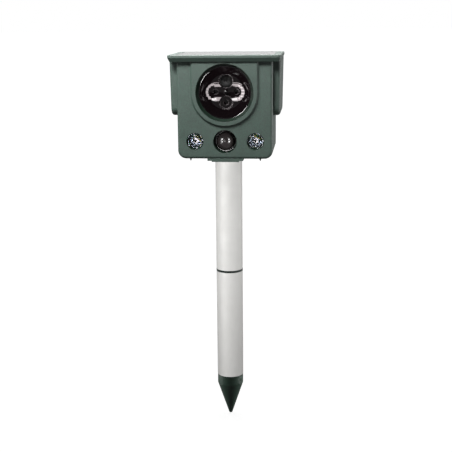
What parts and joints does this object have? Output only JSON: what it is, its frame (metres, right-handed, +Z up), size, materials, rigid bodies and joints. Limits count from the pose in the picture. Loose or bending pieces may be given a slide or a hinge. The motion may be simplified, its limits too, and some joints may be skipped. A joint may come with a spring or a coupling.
{
  "type": "ultrasonic pest repeller",
  "caption": "Solar garden animal repeller: hooded head with a round horn speaker, motion sensor and flashing lamps, on a jointed tubular pole with a ground spike.",
  "frame": {"origin": "tip of the ground spike, on the axis of the pole", "axes": "+Z up along the pole, +X to the right seen from the front, +Y to the back of the head"},
  "size_m": [0.128, 0.1, 0.447],
  "materials": {
    "green_plastic": "fine matt moulded texture",
    "dark_green_plastic": "satin moulded",
    "satin_aluminium": "satin anodised",
    "dark_plastic": "satin moulded",
    "horn_plastic": "high gloss moulded",
    "sensor_lens": "smoky translucent",
    "clear_lens": "clear moulded",
    "mirror_reflector": "metallised",
    "solar_cells": "dark cells under a clear film",
    "solar_cover": "clear satin film",
    "rubber": "matt",
    "zinc_steel": "zinc plated",
    "steel": "bright",
    "circuit_board": "solder mask",
    "board_parts": "moulded",
    "black_plastic": "satin moulded",
    "phosphor": "cured resin",
    "ceramic_disc": "silvered ceramic",
    "driver_skin": "treated paper",
    "cell_wrap": "printed film without text",
    "lead_jacket": "soft insulation"
  },
  "bodies": {
    "spike": {"ground_spike": "dark_green_plastic"},
    "lower_pole": {"lower_tube": "satin_aluminium", "tube_coupler": "dark_plastic"},
    "upper_pole": {"upper_tube": "satin_aluminium"},
    "neck": {"neck_swivel": "green_plastic"},
    "head": {"front_shell": "green_plastic", "rear_shell": "green_plastic", "case_gasket": "rubber", "case_screws": "zinc_steel", "hood": "green_plastic", "hood_screws": "zinc_steel", "solar_board": "solar_cells", "solar_cover": "solar_cover", "speaker_horn": "horn_plastic", "horn_gasket": "rubber", "phase_plug": "horn_plastic", "driver_frame": "black_plastic", "driver_diaphragm": "driver_skin", "driver_coupler": "black_plastic", "piezo_disc": "ceramic_disc", "driver_cap": "black_plastic", "horn_screws": "zinc_steel", "sensor_lens": "sensor_lens", "sensor_clamp": "black_plastic", "sensor_board": "circuit_board", "sensor_can": "steel", "main_board": "circuit_board", "board_parts": "board_parts", "board_screws": "zinc_steel", "mode_dial_base": "black_plastic", "sensitivity_dial_base": "black_plastic", "power_switch": "black_plastic", "charge_socket": "black_plastic", "charge_cover_strap": "rubber", "battery_tray": "black_plastic", "battery_cell_1": "cell_wrap", "battery_cell_2": "cell_wrap", "battery_cell_3": "cell_wrap", "battery_contacts": "steel", "door_hinge_pin": "steel", "solar_lead": "lead_jacket", "speaker_lead": "lead_jacket", "battery_lead": "lead_jacket", "lamp_lens_left": "clear_lens", "lamp_reflector_left": "mirror_reflector", "lamp_board_left": "circuit_board", "lamp_chip_left": "phosphor", "lamp_lens_right": "clear_lens", "lamp_reflector_right": "mirror_reflector", "lamp_board_right": "circuit_board", "lamp_chip_right": "phosphor"},
    "mode_dial": {"mode_knob": "black_plastic", "mode_shaft": "steel"},
    "sensitivity_dial": {"sensitivity_knob": "black_plastic", "sensitivity_shaft": "steel"},
    "button": {"power_button": "black_plastic"},
    "charge_flap": {"charge_cover": "rubber"},
    "door": {"battery_door": "green_plastic", "door_gasket": "rubber"}
  },
  "joints": [
    {"name": "lower_pole_lift", "type": "slide", "parent": "spike", "child": "lower_pole", "axis": [0, 0, 1], "range_m": [0, 0.03]},
    {"name": "upper_pole_lift", "type": "slide", "parent": "lower_pole", "child": "upper_pole", "axis": [0, 0, 1], "range_m": [0, 0.03]},
    {"name": "neck_lift", "type": "slide", "parent": "upper_pole", "child": "neck", "axis": [0, 0, 1], "range_m": [0, 0.03]},
    {"name": "head_swivel", "type": "hinge", "parent": "neck", "child": "head", "pos_m": [0, 0, 0.331], "axis": [0, 0, 1], "continuous": true},
    {"name": "battery_door_hinge", "type": "hinge", "parent": "head", "child": "door", "pos_m": [0, 0.0404, 0.3405], "axis": [-1, 0, 0], "range_deg": [0, 110]},
    {"name": "mode_dial_turn", "type": "hinge", "parent": "head", "child": "mode_dial", "pos_m": [-0.026, 0.0384, 0.416], "axis": [0, 1, 0], "range_deg": [-150, 150]},
    {"name": "sensitivity_dial_turn", "type": "hinge", "parent": "head", "child": "sensitivity_dial", "pos_m": [0.026, 0.0384, 0.416], "axis": [0, 1, 0], "range_deg": [-135, 135]},
    {"name": "power_button_press", "type": "slide", "parent": "head", "child": "button", "axis": [0, -1, 0], "range_m": [0, 0.0015], "stiffness_N_per_m": 400, "springref_m": -0.0005},
    {"name": "charge_flap_hinge", "type": "hinge", "parent": "head", "child": "charge_flap", "pos_m": [0, 0.0391, 0.41415], "axis": [1, 0, 0], "range_deg": [0, 100]}
  ]
}
